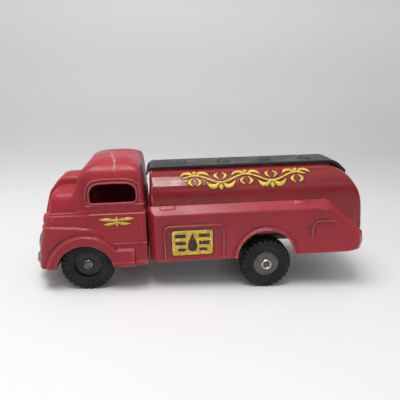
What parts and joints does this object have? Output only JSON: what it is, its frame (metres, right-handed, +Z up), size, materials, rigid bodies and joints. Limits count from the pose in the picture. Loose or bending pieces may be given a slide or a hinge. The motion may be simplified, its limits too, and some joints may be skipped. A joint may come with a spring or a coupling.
{
  "type": "toy tanker truck",
  "caption": "Pressed-metal toy tanker truck with a rounded forward-control cab, long tank body with swept tail, walkway deck and rolling rubber wheels.",
  "frame": {"origin": "bottom centre of the bounding box, on the floor under the wheels", "axes": "+X towards the tail (the cab faces -X), +Y towards the truck's right side, +Z up"},
  "size_m": [0.3329, 0.108, 0.129],
  "materials": {
    "red_enamel": "aged baked enamel, soft gloss",
    "black_enamel": "satin black enamel",
    "chassis_black": "thin black paint",
    "plated_grille": "tarnished nickel plate",
    "zinc_steel": "dull zinc",
    "axle_steel": "drawn steel",
    "tyre_rubber": "moulded rubber",
    "hub_grey": "dark grey pressed disc",
    "cap_steel": "worn bright steel",
    "wheel_steel": "dull steel disc",
    "decal_gold": "gold transfer film"
  },
  "bodies": {
    "root": {"cab_shell": "red_enamel", "tank_barrel": "red_enamel", "tank_skirt": "red_enamel", "tank_front_panel": "red_enamel", "tank_deck": "black_enamel", "chassis_frame": "chassis_black", "rear_axle_bracket": "chassis_black", "front_cross_strap": "chassis_black", "rear_cross_strap": "chassis_black", "front_grille": "plated_grille", "frame_rivets": "zinc_steel", "cab_screws": "zinc_steel", "front_axle": "axle_steel", "front_axle_cap_left": "cap_steel", "front_spacer_left": "zinc_steel", "front_axle_cap_right": "cap_steel", "front_spacer_right": "zinc_steel"},
    "front_wheel_left": {"front_tyre_left": "tyre_rubber", "front_hub_left": "hub_grey"},
    "front_wheel_right": {"front_tyre_right": "tyre_rubber", "front_hub_right": "hub_grey"},
    "rear_wheels": {"rear_axle": "axle_steel", "rear_tyre_left": "tyre_rubber", "rear_tyre_right": "tyre_rubber", "rear_hub_left": "wheel_steel", "rear_hub_right": "wheel_steel", "rear_axle_ferrule_left": "cap_steel", "rear_axle_ferrule_right": "cap_steel", "rear_spacer_left": "zinc_steel", "rear_spacer_right": "zinc_steel"}
  },
  "joints": [
    {"name": "front_left_spin", "type": "hinge", "parent": "root", "child": "front_wheel_left", "pos_m": [-0.11563, 0, 0.026], "axis": [0, 1, 0], "continuous": true},
    {"name": "front_right_spin", "type": "hinge", "parent": "root", "child": "front_wheel_right", "pos_m": [-0.11563, 0, 0.026], "axis": [0, 1, 0], "continuous": true},
    {"name": "rear_axle_spin", "type": "hinge", "parent": "root", "child": "rear_wheels", "pos_m": [0.06277, 0, 0.026], "axis": [0, 1, 0], "continuous": true}
  ]
}
